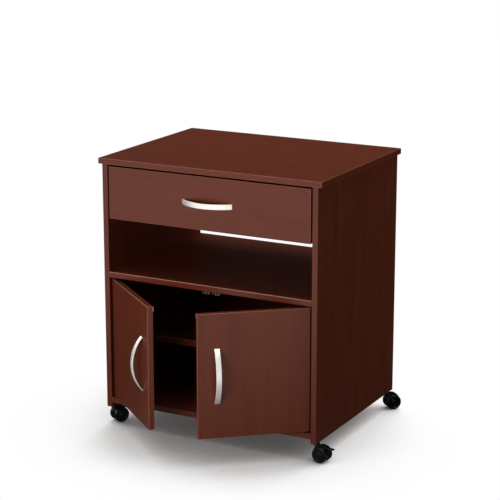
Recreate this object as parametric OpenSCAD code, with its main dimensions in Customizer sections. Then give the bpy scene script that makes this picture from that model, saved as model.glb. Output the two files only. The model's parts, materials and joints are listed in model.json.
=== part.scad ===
// Microwave cart on four twin-wheel casters: a drawer under the top, an open niche
// and a cabinet with two inset doors. Laminated boards, bow handles, roller slides.
// All sizes are in millimetres. The modules are drawn in the cabinet's own frame:
// x = 0 on its centre plane, y = 0 on the front edges of the side panels with +y to
// the rear, z = 0 on the floor. on_floor() then puts the origin in the middle of the
// box that the cart covers on the floor, with its doors ajar as at rest.

/* [Cabinet] */
// Outside width over the two side panels
cabinet_w = 648; // [580:2:760]
// Depth of the side panels
cabinet_d = 505; // [480:1:560]
// Thickness of the boards
board_t = 16; // [15:0.5:19]
// How far the side panels reach below the bottom panel
leg_drop = 12; // [4:1:30]
// Clear height of the opening that the doors close
door_opening_h = 347; // [300:1:420]
// Clear height of the open niche above the fixed shelf
niche_h = 150; // [110:1:200]
// How far the top reaches past each side panel
top_side_overhang = 11; // [0:1:25]
// How far the top reaches past the front
top_front_overhang = 3; // [0:1:20]
// Radius of the banded edges that show
edge_r = 1.2; // [0.4:0.1:2]
// Thickness of the hardboard back
back_t = 3; // [2:0.5:6]
// How far the back overlaps the bottom panel and the fixed shelf
back_lap = 11; // [6:1:14]
// How far the back stays inside the outer faces of the side panels
back_inset = 3; // [0:1:8]
// Height of the stretcher behind the drawer
stretcher_h = 90; // [60:1:110]

/* [Adjustable shelf] */
// How far the shelf's front edge lies behind the front of the cabinet
shelf_setback = 60; // [40:1:120]
// Gap between the shelf and each side panel
shelf_side_gap = 1; // [0.5:0.5:3]
// Gap between the shelf and the back
shelf_back_gap = 2; // [1:0.5:5]
// Distance from the shelf's front and rear edges to its pins
shelf_pin_inset = 40; // [20:1:80]
// Pitch of the rows of pin holes
pin_pitch = 32; // [25:1:40]
// Radius of a shelf pin
pin_r = 2.5; // [2:0.1:3]
// Depth of a pin hole
pin_hole_depth = 9; // [6:0.5:11]
// Length of a pin that carries the shelf
pin_support = 8; // [5:0.5:12]

/* [Drawer] */
// Height of the drawer front
drawer_front_h = 145; // [120:1:180]
// Gap between the drawer front and the top
drawer_top_gap = 5; // [2:0.5:8]
// Gap between the drawer front and each side panel
drawer_side_gap = 4.5; // [2:0.5:6]
// Depth of the drawer box behind its front
drawer_box_d = 400; // [340:1:420]
// Height of the drawer box
drawer_box_h = 100; // [70:1:110]
// Height of the box's lower edge above that of the front
drawer_box_lift = 13; // [8:1:24]
// Thickness of the drawer's sides and back
drawer_board_t = 12; // [10:0.5:15]
// Thickness of the drawer's bottom
drawer_bottom_t = 3; // [2.5:0.5:5]
// Height of the bottom's groove above the lower edge of the box
groove_lift = 10; // [6:1:16]
// Depth of the grooves that hold the bottom
groove_depth = 5; // [3:0.5:6]

/* [Slides] */
// Gap between a side panel and the drawer box
slide_gap = 12.5; // [12:0.5:14]
// Gap between the drawer front and the cabinet rails behind it
rail_front_gap = 2; // [1:0.5:6]
// How far the cabinet rails reach past the rear of the drawer box
rail_tail = 2; // [-60:0.5:6]
// Thickness of the slides' sheet steel
sheet_t = 1.2; // [1:0.1:1.5]
// Radius of a slide roller
roller_r = 8; // [7:0.5:9]
// Width of a slide roller
roller_w = 5.6; // [5:0.1:6]
// Radius of the post that a roller turns on
roller_post_r = 2; // [1.5:0.1:2.5]
// Distance from the end of a slide to its roller
roller_inset = 12; // [10:1:20]

/* [Doors] */
// Opening angle of both doors as the cart stands
door_rest_angle = 40; // [0:1:70]
// Gap between a door and its side panel
door_side_gap = 5.5; // [2:0.5:7]
// Gap between the two doors
door_centre_gap = 8; // [3:0.5:10]
// Gap above the doors
door_top_gap = 4.5; // [4.2:0.1:7]
// Gap below the doors
door_bottom_gap = 4; // [4:0.1:7]
// Distance from a door's hinged edge to its pivot
pivot_inset = 7.5; // [6:0.5:12]
// Distance from the door's front face back to its pivot
pivot_setback = 3; // [1:0.5:5]
// Thickness of a hinge leaf
leaf_t = 1.6; // [1.2:0.1:2]
// Radius of a leaf round its pivot
leaf_nose_r = 4.5; // [4:0.5:6]
// Length of a leaf from its pivot
leaf_len = 42; // [34:1:60]
// Radius of a pivot pin
pivot_r = 2; // [1.5:0.1:2.5]

/* [Handles] */
// Length of a bow handle
handle_len = 150; // [110:1:180]
// How far a bow stands out from its board
handle_rise = 30; // [24:1:44]
// Width of the bow's flat band
handle_w = 16; // [10:1:24]
// Thickness of the band
handle_t = 4.5; // [3:0.5:6]
// Distance between a handle's two screws
handle_pitch = 128; // [96:1:150]
// Distance from a door's free edge to its handle
handle_inset = 52; // [30:1:80]

/* [Casters] */
// Height from the floor to the foot of the side panels
caster_h = 52; // [50:1:60]
// Radius of a caster wheel
wheel_r = 21.6; // [18:0.2:22]
// Width of one wheel
wheel_w = 12; // [10:0.5:14]
// Width over the two wheels of a caster
wheel_span = 37; // [37:0.5:42]
// Distance from a caster's stem to its axle
trail = 16.7; // [15:0.1:20]
// Distance from the front and rear edges to a caster's stem
stem_inset = 23; // [18:1:60]
// Radius of a stem
stem_r = 4; // [3.5:0.1:4.2]
// Direction of the front right caster, counterclockwise from +x
front_right_turn = -6.5; // [-180:0.5:180]
// Direction of the front left caster
front_left_turn = 60; // [-180:0.5:180]
// Direction of the rear right caster
rear_right_turn = 48; // [-180:0.5:180]
// Direction of the rear left caster
rear_left_turn = 173.5; // [-180:0.5:180]
// Length of a brake lever from its pivot
lever_len = 23; // [16:0.5:30]

/* [Hidden] */
$fn = 48;

// Colours of the finishes
laminate = [0.33, 0.16, 0.12];
hardboard = [0.42, 0.31, 0.22];
box_board = [0.86, 0.84, 0.80];
satin_metal = [0.82, 0.80, 0.77];
zinc = [0.72, 0.73, 0.74];
slide_enamel = [0.90, 0.90, 0.88];
nylon = [0.93, 0.92, 0.88];
black_plastic = [0.05, 0.05, 0.05];
grey_plastic = [0.62, 0.62, 0.60];

// Clearances
over = 1;            // how far a cutter runs past the face that it cuts
fit = 0.05;          // radial clearance of a pin or stud in its hole
slack = 0.3;         // clearance between pieces that move past each other
seat = 0.1;          // clearance of a piece laid in or on another

// Boards, from the floor up
half_w = cabinet_w / 2;
half_inner = half_w - board_t;
bottom_z = caster_h + leg_drop;
cabinet_floor_z = bottom_z + board_t;
shelf_z = cabinet_floor_z + door_opening_h;
niche_floor_z = shelf_z + board_t;
drawer_front_z = niche_floor_z + niche_h;
top_z = drawer_front_z + drawer_front_h + drawer_top_gap;
cart_h = top_z + board_t;

// Adjustable shelf, halfway up the door opening
loose_shelf_z = cabinet_floor_z + (door_opening_h - board_t) / 2;
loose_shelf_d = cabinet_d - shelf_setback - shelf_back_gap;
pin_z = loose_shelf_z - pin_r - seat;
pin_ys = [shelf_setback + shelf_pin_inset, cabinet_d - shelf_back_gap - shelf_pin_inset];
pin_rows = [-1, 0, 1];

// Cam joints: a disc in one board pulls on a bolt screwed into the other
cam_r = 7.5;
cam_depth = 12;
cam_setback = 34;
cam_bolt_r = 2.9;
cam_bolt_seat = 10;
cam_bolt_bore_r = 3.6;
cam_neck_r = 2;
cam_neck_len = 6;
cam_head_h = 4;
cam_slot_l = 9;
cam_slot_w = 1.4;
cam_slot_depth = 1.6;
cam_end = 50;
cam_ys = [cam_end, cabinet_d - cam_end];
stretcher_z = top_z - stretcher_h;
stretcher_cam_zs = [stretcher_z + stretcher_h / 2];

// Nails of the back
nail_r = 0.8;
nail_len = 16;
nail_head_r = 2.2;
nail_head_h = 0.8;
back_z = cabinet_floor_z - back_lap;
back_top = shelf_z + back_lap;
nail_end = 50;
nail_side_zs = [back_z + nail_end, (back_z + back_top) / 2, back_top - nail_end];
nail_row_xs = [-half_inner * 2 / 3, 0, half_inner * 2 / 3];

// Small pan-head screws
screw_r = 1.5;
screw_len = 11;
screw_head_r = 3;
screw_head_h = 1.6;

// Drawer
drawer_front_w = 2 * (half_inner - drawer_side_gap);
box_z = drawer_front_z + drawer_box_lift;
box_half = half_inner - slide_gap;
box_inner_half = box_half - drawer_board_t;
box_end = board_t + drawer_box_d;
groove_z = box_z + groove_lift;

// Slides: z is counted from the lower face of the cabinet rail
rail_gap = 2;
rail_z = box_z + rail_gap;
rail_y = board_t + rail_front_gap;
rail_end = box_end + rail_tail;
rail_screw_inset = 42;
rail_flange = 9.5;
roller_z = sheet_t + slack + roller_r;
runner_flange_z = roller_z + roller_r + slack;
rail_h = runner_flange_z + 2 * sheet_t + 1;
rail_screw_ys = [rail_y + rail_screw_inset, (rail_y + rail_end) / 2, rail_end - rail_screw_inset];
roller_x = 4.4;
post_head_r = 3;
post_head_h = 0.6;
runner_flange_x = 3.2;
front_roller_y = rail_y + roller_inset;
rear_roller_y = box_end - roller_inset;

// Doors, drawn closed for the left side
door_z = cabinet_floor_z + door_bottom_gap;
door_h = door_opening_h - door_bottom_gap - door_top_gap;
door_x = -half_inner + door_side_gap;
door_w = half_inner - door_side_gap - door_centre_gap / 2;
door_free_x = door_x + door_w;
pivot = [door_x + pivot_inset, pivot_setback];
leaf_w = 9;
leaf_screws = [14, 33];
collar_r = 3.4;
leaf_counter_r = screw_head_r + slack / 3;

// Magnetic catch under the fixed shelf, and the doors' strike plates
magnet_x = 15;
magnet_w = 21;
magnet_d = 14;
magnet_h = 11;
catch_plate_t = 2;
catch_plate_w = 66;
catch_screw_x = 29;
strike_t = 1.2;
strike_w = 22;
strike_h = 12;
strike_drop = 2;
catch_y = board_t + strike_t + slack;
pole_t = 0.8;
pole_h = 7;

// Bow handle: two arcs about one centre behind the board, and a post round each screw
bow_r = (pow(handle_len / 2, 2) + pow(handle_rise, 2)) / (2 * handle_rise);
bow_centre = bow_r - handle_rise;
handle_post_r = 4;
handle_screw_r = 1.95;
handle_bore_depth = 6.5;
handle_screw_clear_r = 2.25;
handle_head_r = 4;
handle_head_h = 2.4;

// Casters: each is drawn with its stem on the z axis and its wheels behind it at +x
stem_x = half_w - board_t / 2;
stem_ys = [stem_inset, cabinet_d - stem_inset];
socket_r = 5.5;
socket_len = 36;
socket_flange_r = 7.5;
socket_flange_t = 1.5;
stem_top = caster_h + socket_len - 1;
stem_foot = 30;
hood_top = caster_h - socket_flange_t - slack;
wheel_gap = wheel_span / 2 - wheel_w;
web_half = wheel_gap - slack - 0.1;
web_r = 18.5;
hood_r = wheel_r + 2.4;
hood_skin = 1.7;
hood_half = 12;
roof_angles = [48, 145];
roof_trim = 3;
hood_foot = stem_foot - 3;
stem_tube_r = web_half - 0.3;
boss_r = 8.5;
boss_z = wheel_r + sqrt(pow(wheel_r, 2) - pow(trail - boss_r, 2)) + 1.2;
axle_r = 2;
axle_half = 16;
wheel_edge_r = 2;
wheel_dish_r = [6, 16.5];
wheel_dish_depth = 1.2;
brake_pivot = [trail + 14, wheel_r + 20];
brake_pin_r = 1.5;
brake_hub_r = 3.2;
brake_ear_r = 3.9;
brake_hub_half = 3.6;
lever_t = 2.6;
lever_half = 5.5;
lever_droop = 4;

// Middle of the box that the cart covers on the floor
function wheel_reach(turn) = abs(cos(turn)) * wheel_r + abs(sin(turn)) * wheel_span / 2;
lever_tip = brake_pivot[0] + lever_len;
right_reach = stem_x + lever_tip * cos(front_right_turn);
left_reach = stem_x - trail * cos(rear_left_turn) + wheel_reach(rear_left_turn);
rear_reach = stem_ys[1] + trail * sin(rear_right_turn) + wheel_reach(90 - rear_right_turn);
bow_along = door_w - pivot_inset - handle_inset + handle_w / 2;
door_reach = max((door_w - pivot_inset) * sin(door_rest_angle),
                 bow_along * sin(door_rest_angle) + handle_rise * cos(door_rest_angle));
front_reach = door_reach + pivot_setback * (cos(door_rest_angle) - 1);
footprint_mid = [(right_reach - left_reach) / 2, (rear_reach - front_reach) / 2];

// ---- helpers ----

module on_floor() {
  translate([-footprint_mid[0], -footprint_mid[1], 0]) children();
}

// Draws a left-hand piece, or its mirror image for side = 1
module on_side(side) {
  if (side > 0) mirror([1, 0, 0]) children();
  else children();
}

// Turns a door's pieces from closed to the angle at which the door stands
module hung(side) {
  on_side(side)
    translate([pivot[0], pivot[1], 0])
      rotate([0, 0, -door_rest_angle])
        translate([-pivot[0], -pivot[1], 0])
          children();
}

module at_caster(side, row, turn) {
  translate([side * stem_x, stem_ys[row], 0]) rotate([0, 0, turn]) children();
}

module box(low, high) {
  translate(low) cube(high - low);
}

// A cylinder along x, from x0 to x1
module rod_x(r, x0, x1) {
  translate([x0, 0, 0]) rotate([0, 90, 0]) cylinder(r = r, h = x1 - x0);
}

// A cylinder along y, from y0 to y1
module rod_y(r, y0, y1) {
  translate([0, y1, 0]) rotate([90, 0, 0]) cylinder(r = r, h = y1 - y0);
}

// A cylinder along z, from z0 to z1
module rod_z(r, z0, z1) {
  translate([0, 0, z0]) cylinder(r = r, h = z1 - z0);
}

// Rectangle whose two corners at x = 0 are rounded
module banded_profile(d, t) {
  translate([edge_r, 0]) square([d - edge_r, t]);
  translate([0, edge_r]) square([d, t - 2 * edge_r]);
  for (y = [edge_r, t - edge_r]) translate([edge_r, y]) circle(r = edge_r);
}

// Rectangle with four rounded corners
module rounded_rect(w, h, r) {
  translate([r, 0]) square([w - 2 * r, h]);
  translate([0, r]) square([w, h - 2 * r]);
  for (x = [r, w - r], y = [r, h - r]) translate([x, y]) circle(r = r);
}

// Level board, x from -half to half, with a banded front edge at y0
module level_board(half, y0, y1, z0) {
  translate([-half, y0, z0])
    rotate([90, 0, 90])
      linear_extrude(2 * half) banded_profile(y1 - y0, board_t);
}

// ---- cam joints, back nails and small screws ----

// Each place is the joint's centre and the turn that sends local z into the board
// that holds the cam, and local x to the face that the cam is set in.
function top_cams(side) =
  [for (y = cam_ys) [[side * (half_inner + board_t / 2), y, top_z],
                     side < 0 ? [180, 0, 0] : [0, 180, 0]]];
function level_cams(side, z) =
  [for (y = cam_ys) [[side * half_inner, y, z + board_t / 2],
                     [0, 90, side < 0 ? 0 : 180]]];
function stretcher_cams(side) =
  [for (z = stretcher_cam_zs) [[side * half_inner, cabinet_d - board_t / 2, z],
                               [side < 0 ? 90 : -90, 0, 90]]];
function side_bolts(side) =
  concat(level_cams(side, bottom_z), level_cams(side, shelf_z), stretcher_cams(side));
function all_cams() =
  [for (side = [-1, 1]) each concat(top_cams(side), side_bolts(side))];

module at_places(places) {
  for (p = places) translate(p[0]) rotate(p[1]) children();
}

module cam_cut() {
  translate([0, 0, cam_setback]) rod_x(cam_r, board_t / 2 - cam_depth, board_t / 2 + over);
  rod_z(cam_bolt_bore_r, -over, cam_setback);
}

module cam_bolt_cut() {
  rod_z(cam_bolt_r + fit, -cam_bolt_seat, over);
}

module cam_disc() {
  difference() {
    translate([0, 0, cam_setback])
      rod_x(cam_r - fit, board_t / 2 - cam_depth + fit, board_t / 2);
    rod_z(cam_bolt_bore_r, cam_setback - cam_r - over, cam_setback + cam_head_h / 2 + slack);
    for (turn = [0, 90])
      translate([board_t / 2, 0, cam_setback])
        rotate([turn, 0, 0])
          cube([2 * cam_slot_depth, cam_slot_l, cam_slot_w], center = true);
  }
}

module cam_bolt() {
  neck_z = cam_setback - cam_head_h / 2 - cam_neck_len;
  rod_z(cam_bolt_r, -cam_bolt_seat + seat, neck_z);
  rod_z(cam_neck_r, neck_z - over, cam_setback);
  translate([0, 0, cam_setback]) rod_z(cam_bolt_r, -cam_head_h / 2, cam_head_h / 2);
}

function back_nail_places() = concat(
  [for (side = [-1, 1], z = nail_side_zs) [side * (half_inner + board_t / 2), z]],
  [for (x = nail_row_xs) [x, cabinet_floor_z - back_lap / 2]],
  [for (x = nail_row_xs) [x, shelf_z + back_lap / 2]]);

module at_nails() {
  for (p = back_nail_places()) translate([p[0], cabinet_d, p[1]]) children();
}

module nail_cuts() {
  at_nails() rod_y(nail_r + fit, -nail_len - seat, back_t + over);
}

// Screw with its head's seat at z = 0 and its point down
module small_screw() {
  rod_z(screw_r, -screw_len, over / 2);
  rod_z(screw_head_r, 0, screw_head_h);
}

module small_screw_cut() {
  rod_z(screw_r + fit, -screw_len - seat, over);
}

// Screws of the two cabinet rails, head inwards
module at_rail_screws(side) {
  on_side(side)
    for (y = rail_screw_ys)
      translate([-half_inner + sheet_t, y, rail_z + roller_z])
        rotate([0, 90, 0])
          children();
}

module at_catch_screws() {
  for (x = [-catch_screw_x, catch_screw_x])
    translate([x, catch_y + magnet_d / 2, shelf_z - catch_plate_t])
      rotate([180, 0, 0])
        children();
}

// ---- boards ----

module top_panel() {
  color(laminate)
    difference() {
      level_board(half_w + top_side_overhang, -top_front_overhang, cabinet_d, top_z);
      for (side = [-1, 1]) at_places(top_cams(side)) cam_bolt_cut();
    }
}

module side_panel(side) {
  color(laminate)
    difference() {
      on_side(side)
        translate([-half_inner, 0, caster_h])
          rotate([0, 0, 90])
            linear_extrude(top_z - caster_h) banded_profile(cabinet_d, board_t);
      at_places(top_cams(side)) cam_cut();
      at_places(side_bolts(side)) cam_bolt_cut();
      nail_cuts();
      at_rail_screws(side) small_screw_cut();
      on_side(side) {
        for (y = pin_ys, k = pin_rows)
          translate([0, y, pin_z + k * pin_pitch])
            rod_x(pin_r + fit, -half_inner - pin_hole_depth, -half_inner + over);
        for (y = stem_ys)
          translate([-stem_x, y, caster_h]) rod_z(socket_r + fit, -over, socket_len + seat);
      }
    }
}

module fixed_shelf() {
  color(laminate)
    difference() {
      level_board(half_inner, 0, cabinet_d, shelf_z);
      for (side = [-1, 1]) {
        at_places(level_cams(side, shelf_z)) cam_cut();
        at_cabinet_leaf_screws(side, 1) small_screw_cut();
      }
      nail_cuts();
      at_catch_screws() small_screw_cut();
    }
}

module bottom_panel() {
  color(laminate)
    difference() {
      level_board(half_inner, 0, cabinet_d, bottom_z);
      for (side = [-1, 1]) {
        at_places(level_cams(side, bottom_z)) cam_cut();
        at_cabinet_leaf_screws(side, 0) small_screw_cut();
      }
      nail_cuts();
    }
}

module adjustable_shelf() {
  color(laminate)
    level_board(half_inner - shelf_side_gap, shelf_setback,
                shelf_setback + loose_shelf_d, loose_shelf_z);
}

module back_panel() {
  color(hardboard)
    difference() {
      box([-half_w + back_inset, cabinet_d, back_z],
          [half_w - back_inset, cabinet_d + back_t, back_top]);
      nail_cuts();
    }
}

module rear_stretcher() {
  color(laminate)
    difference() {
      box([-half_inner, cabinet_d - board_t, stretcher_z], [half_inner, cabinet_d, top_z]);
      for (side = [-1, 1]) at_places(stretcher_cams(side)) cam_cut();
    }
}

// ---- fittings of the cabinet ----

module shelf_pins() {
  color(zinc)
    for (side = [-1, 1], y = pin_ys)
      on_side(side)
        translate([0, y, pin_z])
          rod_x(pin_r, -half_inner - pin_hole_depth + seat, -half_inner + pin_support);
}

module cam_locks() {
  color(zinc) at_places(all_cams()) cam_disc();
}

module cam_bolts() {
  color(zinc) at_places(all_cams()) cam_bolt();
}

module back_nails() {
  color(zinc)
    at_nails() {
      rod_y(nail_r, -nail_len, back_t + nail_head_h / 2);
      rod_y(nail_head_r, back_t, back_t + nail_head_h);
    }
}

module small_screws() {
  color(zinc) {
    for (side = [-1, 1]) at_rail_screws(side) small_screw();
    at_catch_screws() small_screw();
  }
}

module magnetic_catch() {
  plate_z = shelf_z - catch_plate_t;
  color(grey_plastic)
    difference() {
      union() {
        box([-catch_plate_w / 2, catch_y, plate_z],
            [catch_plate_w / 2, catch_y + magnet_d, shelf_z]);
        for (side = [-1, 1])
          box([side * magnet_x - magnet_w / 2, catch_y + pole_t, plate_z - magnet_h],
              [side * magnet_x + magnet_w / 2, catch_y + magnet_d, plate_z + over / 2]);
      }
      at_catch_screws() small_screw_cut();
    }
  // Pole plates that meet the strike plates
  color(zinc)
    for (side = [-1, 1], half = [0, 1])
      box([side * magnet_x - magnet_w / 2 + 1.5 + half * 10, catch_y,
           plate_z - magnet_h + 1],
          [side * magnet_x - magnet_w / 2 + 9.5 + half * 10, catch_y + pole_t,
           plate_z - magnet_h + 1 + pole_h]);
}

// ---- pivot hinges: level 0 is the lower one, level 1 the upper one ----

// Moves a leaf, drawn from z = 0 up, to the lower or the upper end of the door
module at_cabinet_leaf(level) {
  if (level == 0) translate([0, 0, cabinet_floor_z]) children();
  else translate([0, 0, shelf_z]) mirror([0, 0, 1]) children();
}

module at_door_leaf(level) {
  if (level == 0) translate([0, 0, door_z]) mirror([0, 0, 1]) children();
  else translate([0, 0, door_z + door_h]) children();
}

// Screws of a cabinet leaf, seats at the leaf's counterbore
module at_cabinet_leaf_screws(side, level) {
  on_side(side)
    at_cabinet_leaf(level)
      for (along = leaf_screws)
        translate([pivot[0], pivot[1] + along, seat]) children();
}

module at_door_leaf_screws(level) {
  at_door_leaf(level)
    for (along = leaf_screws)
      translate([pivot[0] + along, board_t / 2, seat]) children();
}

// Flat screw that ends flush with its leaf
module leaf_screw() {
  rod_z(screw_r, -screw_len, over / 2);
  rod_z(screw_head_r, 0, leaf_t - 2 * seat);
}

module leaf_screw_cut() {
  rod_z(screw_r + fit, -screw_len, over);
  rod_z(leaf_counter_r, 0, leaf_t + over);
}

module cabinet_leaf(gap) {
  difference() {
    union() {
      translate([pivot[0], pivot[1], 0]) {
        rod_z(leaf_nose_r, 0, leaf_t);
        box([-leaf_w / 2, 0, 0], [leaf_w / 2, leaf_len, leaf_t]);
        rod_z(collar_r, 0, gap - leaf_t - slack);
        rod_z(pivot_r, 0, gap - slack / 2);
      }
    }
    for (along = leaf_screws)
      translate([pivot[0], pivot[1] + along, seat]) leaf_screw_cut();
  }
}

module cabinet_hinge_leaves() {
  color(satin_metal)
    for (side = [-1, 1], level = [0, 1]) {
      on_side(side) at_cabinet_leaf(level) cabinet_leaf(level == 0 ? door_bottom_gap : door_top_gap);
      at_cabinet_leaf_screws(side, level) leaf_screw();
    }
}

module door_leaf() {
  difference() {
    union() {
      translate([pivot[0], pivot[1], 0]) {
        rod_z(leaf_nose_r, 0, leaf_t);
        box([-leaf_nose_r, 0, 0], [leaf_nose_r, board_t / 2, leaf_t]);
      }
      box([pivot[0] - leaf_nose_r, (board_t - leaf_w) / 2, 0],
          [pivot[0] + leaf_len, (board_t + leaf_w) / 2, leaf_t]);
    }
    translate([pivot[0], pivot[1], 0]) rod_z(pivot_r + fit, -over, leaf_t + over);
    for (along = leaf_screws)
      translate([pivot[0] + along, board_t / 2, seat]) leaf_screw_cut();
  }
}

module hinge_leaves(side) {
  color(satin_metal)
    hung(side)
      for (level = [0, 1]) {
        at_door_leaf(level) door_leaf();
        at_door_leaf_screws(level) leaf_screw();
      }
}

// ---- doors ----

module door(side) {
  color(laminate)
    hung(side)
      difference() {
        translate([door_x, 0, door_z])
          linear_extrude(door_h) rounded_rect(door_w, board_t, edge_r);
        for (level = [0, 1]) at_door_leaf_screws(level) small_screw_cut();
        at_door_handle() handle_screw_cuts();
      }
}

module at_door_handle() {
  translate([door_free_x - handle_inset, 0, door_z + door_h / 2])
    rotate([0, 90, 0])
      children();
}

module door_handle(side) {
  color(satin_metal) hung(side) at_door_handle() bow_handle();
}

module door_handle_screws(side) {
  color(zinc) hung(side) at_door_handle() handle_screws();
}

module strike_plate(side) {
  top = door_z + door_h - strike_drop;
  color(zinc)
    hung(side)
      box([-magnet_x - strike_w / 2, board_t, top - strike_h],
          [-magnet_x + strike_w / 2, board_t + strike_t, top]);
}

// ---- bow handle: its ends lie along x, on the face y = 0, and it rises to -y ----

// A disc about the bow's centre, cut off at the face of the board
module bow_disc(r) {
  intersection() {
    translate([0, bow_centre]) circle(r = r, $fn = 180);
    translate([-handle_len, -2 * handle_rise]) square([2 * handle_len, 2 * handle_rise]);
  }
}

module at_handle_screws() {
  for (side = [-1, 1]) translate([side * handle_pitch / 2, 0, 0]) children();
}

module bow_handle() {
  difference() {
    union() {
      translate([0, 0, -handle_w / 2])
        linear_extrude(handle_w)
          difference() {
            bow_disc(bow_r);
            translate([0, bow_centre]) circle(r = bow_r - handle_t, $fn = 180);
          }
      intersection() {
        at_handle_screws() rod_y(handle_post_r, -handle_rise, 0);
        translate([0, 0, -handle_w / 2]) linear_extrude(handle_w) bow_disc(bow_r - handle_t / 2);
      }
    }
    at_handle_screws() rod_y(handle_screw_r + fit, -handle_bore_depth, over);
  }
}

module handle_screws() {
  at_handle_screws() {
    rod_y(handle_screw_r, -handle_bore_depth + 2 * seat, board_t + over);
    rod_y(handle_head_r, board_t, board_t + handle_head_h);
  }
}

module handle_screw_cuts() {
  at_handle_screws() rod_y(handle_screw_clear_r, -over, board_t + over);
}

// ---- drawer ----

module at_drawer_handle() {
  translate([0, 0, drawer_front_z + drawer_front_h / 2]) children();
}

// Groove for the drawer's bottom, cut into whatever board it passes
module bottom_groove() {
  box([-box_inner_half - groove_depth, board_t - groove_depth, groove_z - seat],
      [box_inner_half + groove_depth, box_end - drawer_board_t + groove_depth,
       groove_z + drawer_bottom_t + seat]);
}

module drawer_front() {
  color(laminate)
    difference() {
      translate([-drawer_front_w / 2, 0, drawer_front_z])
        linear_extrude(drawer_front_h) rounded_rect(drawer_front_w, board_t, edge_r);
      bottom_groove();
      at_drawer_handle() handle_screw_cuts();
    }
}

module drawer_side(side) {
  color(box_board)
    difference() {
      on_side(side)
        box([-box_half, board_t, box_z],
            [-box_inner_half, box_end, box_z + drawer_box_h]);
      bottom_groove();
    }
}

module drawer_back() {
  color(box_board)
    difference() {
      box([-box_inner_half, box_end - drawer_board_t, box_z],
          [box_inner_half, box_end, box_z + drawer_box_h]);
      bottom_groove();
    }
}

module drawer_bottom() {
  edge = groove_depth - 5 * seat;
  color(box_board)
    box([-box_inner_half - edge, board_t - edge, groove_z],
        [box_inner_half + edge, box_end - drawer_board_t + edge, groove_z + drawer_bottom_t]);
}

module drawer_handle() {
  color(satin_metal) at_drawer_handle() bow_handle();
}

module drawer_handle_screws() {
  color(zinc) at_drawer_handle() handle_screws();
}

// ---- roller slides: x is counted inwards from the side panel ----

module at_slide(side) {
  on_side(side) translate([-half_inner, 0, rail_z]) children();
}

// Extrudes an x-z outline along y
module along_y(y0, y1) {
  translate([0, y1, 0]) rotate([90, 0, 0]) linear_extrude(y1 - y0) children();
}

module cabinet_rail(side) {
  color(slide_enamel)
    difference() {
      at_slide(side) {
        along_y(rail_y, rail_end) {
          square([sheet_t, rail_h]);
          square([rail_flange, sheet_t]);
          translate([0, rail_h - sheet_t]) square([rail_flange, sheet_t]);
        }
        translate([0, front_roller_y, roller_z]) {
          rod_x(post_head_r, 0, roller_x - seat);
          rod_x(roller_post_r, 0, roller_x + roller_w + seat + post_head_h);
          translate([roller_x + roller_w + seat, 0, 0]) rod_x(post_head_r, 0, post_head_h);
        }
      }
      at_rail_screws(side) small_screw_cut();
    }
}

module drawer_runner(side) {
  web_x = slide_gap - sheet_t;
  color(slide_enamel)
    at_slide(side) {
      along_y(board_t, box_end) {
        translate([web_x, -rail_gap - sheet_t])
          square([sheet_t, rail_gap + runner_flange_z + 2 * sheet_t]);
        translate([web_x, -rail_gap - sheet_t]) square([sheet_t + drawer_board_t, sheet_t]);
        translate([runner_flange_x, runner_flange_z])
          square([slide_gap - runner_flange_x, sheet_t]);
      }
      translate([0, rear_roller_y, roller_z]) {
        rod_x(post_head_r, roller_x + roller_w + seat, slide_gap);
        rod_x(roller_post_r, roller_x - seat - post_head_h, slide_gap);
        rod_x(post_head_r, roller_x - seat - post_head_h, roller_x - seat);
      }
    }
}

module slide_roller(side, y) {
  color(nylon)
    at_slide(side)
      translate([0, y, roller_z])
        difference() {
          rod_x(roller_r, roller_x, roller_x + roller_w);
          rod_x(roller_post_r + fit, roller_x - over, roller_x + roller_w + over);
        }
}

// ---- casters ----

module at_stems() {
  for (side = [-1, 1], y = stem_ys) translate([side * stem_x, y, 0]) children();
}

module caster_sockets() {
  color(black_plastic)
    at_stems()
      difference() {
        union() {
          rod_z(socket_r, caster_h - socket_flange_t, caster_h + socket_len);
          rod_z(socket_flange_r, caster_h - socket_flange_t, caster_h);
        }
        rod_z(stem_r + fit, 0, stem_top + seat);
      }
}

module caster_stems() {
  color(zinc) at_stems() rod_z(stem_r, stem_foot, stem_top);
}

// Wedge about the axle that bounds the hood's roof, drawn in by trim degrees
module roof_wedge(trim) {
  low = roof_angles[0] + trim;
  high = roof_angles[1] - trim;
  reach = 2 * hood_r;
  polygon([[0, 0], reach * [cos(low), sin(low)], reach * [0, 1], reach * [cos(high), sin(high)]]);
}

// Extrudes an outline drawn in x-z, centred on the caster's own centre plane
module across(half) {
  rotate([90, 0, 0]) linear_extrude(2 * half, center = true) children();
}

module caster_hood(side, row, turn, brake) {
  color(black_plastic)
    at_caster(side, row, turn)
      difference() {
        union() {
          across(web_half) {
            translate([trail, wheel_r]) {
              circle(r = web_r);
              intersection() {
                circle(r = hood_r - hood_skin / 2);
                roof_wedge(roof_trim);
              }
            }
            polygon([[0, hood_foot], [trail, wheel_r - web_r / 2], [trail, wheel_r + web_r / 2],
                     [0, boss_z + over]]);
            if (brake) translate(brake_pivot) circle(r = brake_ear_r);
          }
          across(hood_half)
            translate([trail, wheel_r])
              intersection() {
                difference() {
                  circle(r = hood_r);
                  circle(r = hood_r - hood_skin);
                }
                roof_wedge(0);
              }
          rod_z(stem_tube_r, hood_foot, boss_z + over);
          rod_z(boss_r, boss_z, hood_top);
        }
        rod_z(stem_r + fit, stem_foot - seat, hood_top + over);
        translate([trail, 0, wheel_r]) rod_y(axle_r + fit, -web_half - over, web_half + over);
        if (brake)
          translate([brake_pivot[0], 0, brake_pivot[1]]) {
            rod_y(brake_ear_r + slack, -brake_hub_half - slack, brake_hub_half + slack);
            rod_y(brake_pin_r + fit, -web_half - over, web_half + over);
          }
      }
}

module caster_axle(side, row, turn) {
  color(zinc)
    at_caster(side, row, turn) translate([trail, 0, wheel_r]) rod_y(axle_r, -axle_half, axle_half);
}

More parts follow.
